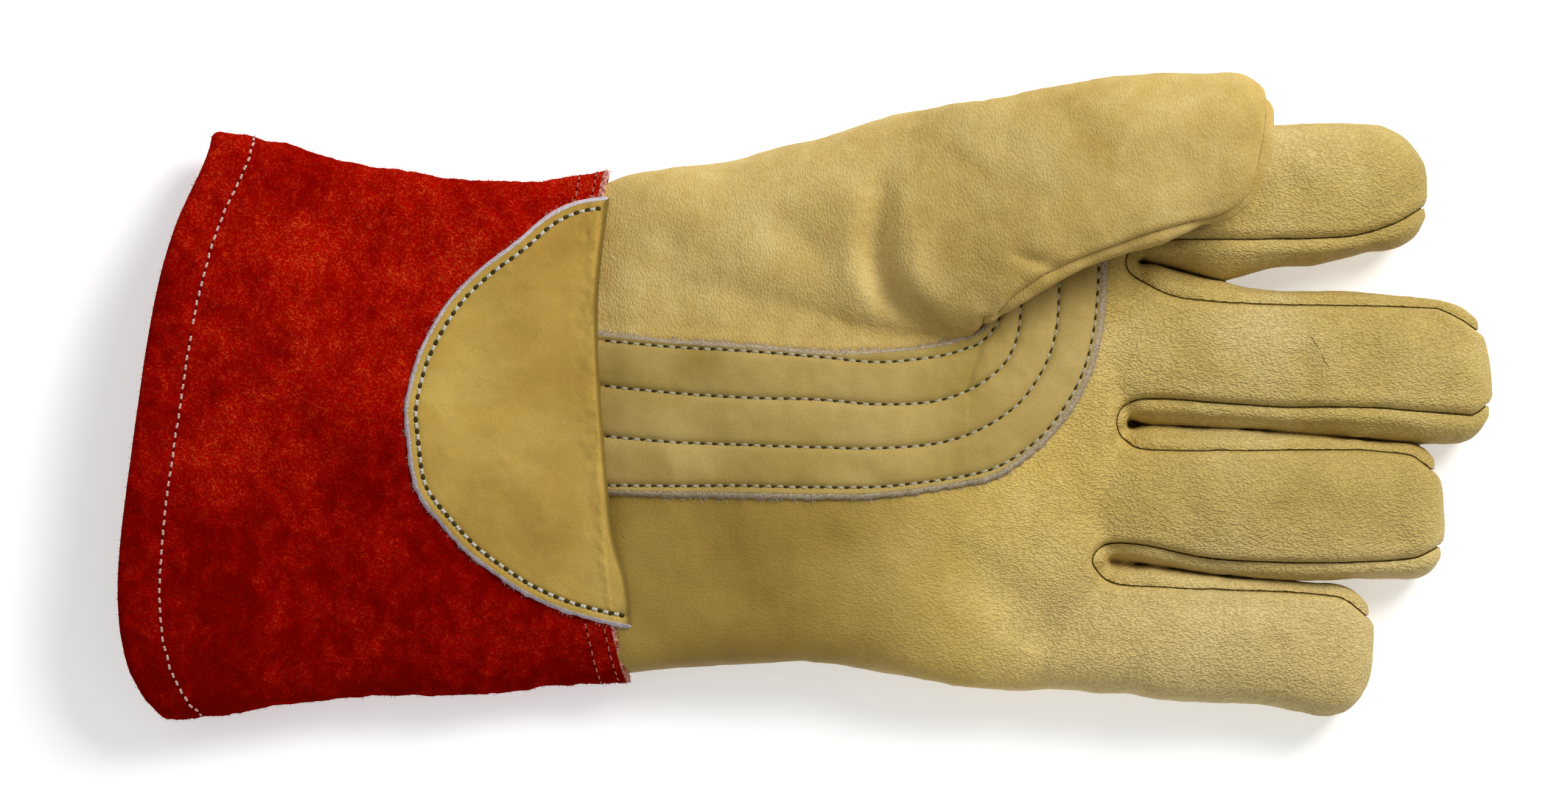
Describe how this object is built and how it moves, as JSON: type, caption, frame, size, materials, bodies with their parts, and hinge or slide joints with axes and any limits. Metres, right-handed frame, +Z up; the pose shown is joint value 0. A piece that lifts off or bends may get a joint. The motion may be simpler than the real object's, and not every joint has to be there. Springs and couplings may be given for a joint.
{
  "type": "leather work glove",
  "caption": "Left-hand leather protector glove with gusseted fingers, wing thumb, stitched palm patch, half-moon wrist tab and flared suede gauntlet cuff.",
  "frame": {"origin": "on the resting surface, under the middle of the glove's length and width", "axes": "+X from the cuff to the fingertips, +Y towards the thumb, +Z up out of the palm"},
  "size_m": [0.3293, 0.1547, 0.0486],
  "materials": {
    "grain_leather": "satin",
    "napped_leather": "matte",
    "smooth_leather": "matte",
    "suede": "matte"
  },
  "bodies": {
    "root": {"palm_panel": "grain_leather", "back_panel": "grain_leather", "gusset_index_middle": "grain_leather", "gusset_middle_ring": "grain_leather", "gusset_ring_little": "grain_leather", "thumb_front": "napped_leather", "thumb_back": "napped_leather", "palm_patch": "smooth_leather", "wrist_tab": "smooth_leather", "cuff": "suede"}
  },
  "joints": []
}
